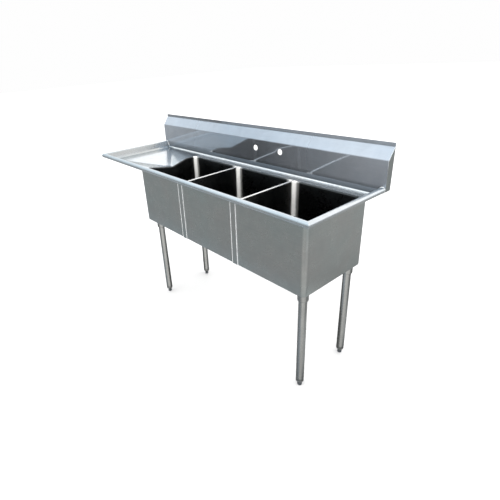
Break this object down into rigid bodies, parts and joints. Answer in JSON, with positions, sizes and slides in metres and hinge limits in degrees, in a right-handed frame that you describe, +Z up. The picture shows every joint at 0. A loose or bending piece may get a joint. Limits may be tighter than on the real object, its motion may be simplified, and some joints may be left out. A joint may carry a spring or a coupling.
{
  "type": "three compartment sink",
  "caption": "Stainless steel commercial sink on tube legs, with deep square bowls, a sloped drainboard at the left, a rolled rim and a boxed backsplash with faucet holes.",
  "frame": {"origin": "on the floor, under the centre of the overall box", "axes": "+X along the sink to the right as the user faces it, +Y towards the wall, +Z up"},
  "size_m": [1.94, 0.6188, 1.1847],
  "materials": {
    "bowl_steel": "satin",
    "deck_steel": "satin",
    "splash_steel": "polished satin",
    "leg_steel": "satin",
    "foot_plastic": "matte",
    "drain_chrome": "bright",
    "hardware_steel": "dull",
    "rubber": "matte"
  },
  "bodies": {
    "sink": {"bowl_left": "bowl_steel", "bowl_middle": "bowl_steel", "bowl_right": "bowl_steel", "drainboard": "deck_steel", "rear_deck": "deck_steel", "divider_cap_left": "deck_steel", "divider_cap_right": "deck_steel", "rim_front": "deck_steel", "rim_left": "deck_steel", "rim_right": "deck_steel", "front_filler_left": "bowl_steel", "front_filler_right": "bowl_steel", "rear_filler_left": "bowl_steel", "rear_filler_right": "bowl_steel", "backsplash": "splash_steel", "splash_end_left": "splash_steel", "splash_end_right": "splash_steel", "leg_socket_front_left": "leg_steel", "leg_socket_front_right": "leg_steel", "leg_socket_rear_left": "leg_steel", "leg_socket_rear_right": "leg_steel", "leg_set_screws": "hardware_steel", "leg_front_left": "leg_steel", "leg_front_right": "leg_steel", "leg_rear_left": "leg_steel", "leg_rear_right": "leg_steel", "foot_insert_front_left": "leg_steel", "foot_insert_front_right": "leg_steel", "foot_insert_rear_left": "leg_steel", "foot_insert_rear_right": "leg_steel", "drain_body_left": "drain_chrome", "drain_body_middle": "drain_chrome", "drain_body_right": "drain_chrome", "drain_gasket_left": "rubber", "drain_gasket_middle": "rubber", "drain_gasket_right": "rubber", "drain_locknut_left": "hardware_steel", "drain_locknut_middle": "hardware_steel", "drain_locknut_right": "hardware_steel", "drain_coupling_left": "drain_chrome", "drain_coupling_middle": "drain_chrome", "drain_coupling_right": "drain_chrome", "drain_tailpiece_left": "drain_chrome", "drain_tailpiece_middle": "drain_chrome", "drain_tailpiece_right": "drain_chrome"},
    "height_foot_front_left": {"foot_front_left": "foot_plastic"},
    "height_foot_front_right": {"foot_front_right": "foot_plastic"},
    "height_foot_rear_left": {"foot_rear_left": "foot_plastic"},
    "height_foot_rear_right": {"foot_rear_right": "foot_plastic"},
    "basket_left": {"basket_cup_left": "drain_chrome", "basket_knob_left": "drain_chrome", "basket_stopper_left": "rubber"},
    "basket_middle": {"basket_cup_middle": "drain_chrome", "basket_knob_middle": "drain_chrome", "basket_stopper_middle": "rubber"},
    "basket_right": {"basket_cup_right": "drain_chrome", "basket_knob_right": "drain_chrome", "basket_stopper_right": "rubber"}
  },
  "joints": [
    {"name": "foot_front_left_screw", "type": "slide", "parent": "sink", "child": "height_foot_front_left", "axis": [0, 0, -1], "range_m": [0, 0.0254]},
    {"name": "foot_front_right_screw", "type": "slide", "parent": "sink", "child": "height_foot_front_right", "axis": [0, 0, -1], "range_m": [0, 0.0254]},
    {"name": "foot_rear_left_screw", "type": "slide", "parent": "sink", "child": "height_foot_rear_left", "axis": [0, 0, -1], "range_m": [0, 0.0254]},
    {"name": "foot_rear_right_screw", "type": "slide", "parent": "sink", "child": "height_foot_rear_right", "axis": [0, 0, -1], "range_m": [0, 0.0254]},
    {"name": "basket_left_lift", "type": "slide", "parent": "sink", "child": "basket_left", "axis": [0, 0, 1], "range_m": [0, 0.43]},
    {"name": "basket_middle_lift", "type": "slide", "parent": "sink", "child": "basket_middle", "axis": [0, 0, 1], "range_m": [0, 0.43]},
    {"name": "basket_right_lift", "type": "slide", "parent": "sink", "child": "basket_right", "axis": [0, 0, 1], "range_m": [0, 0.43]}
  ]
}
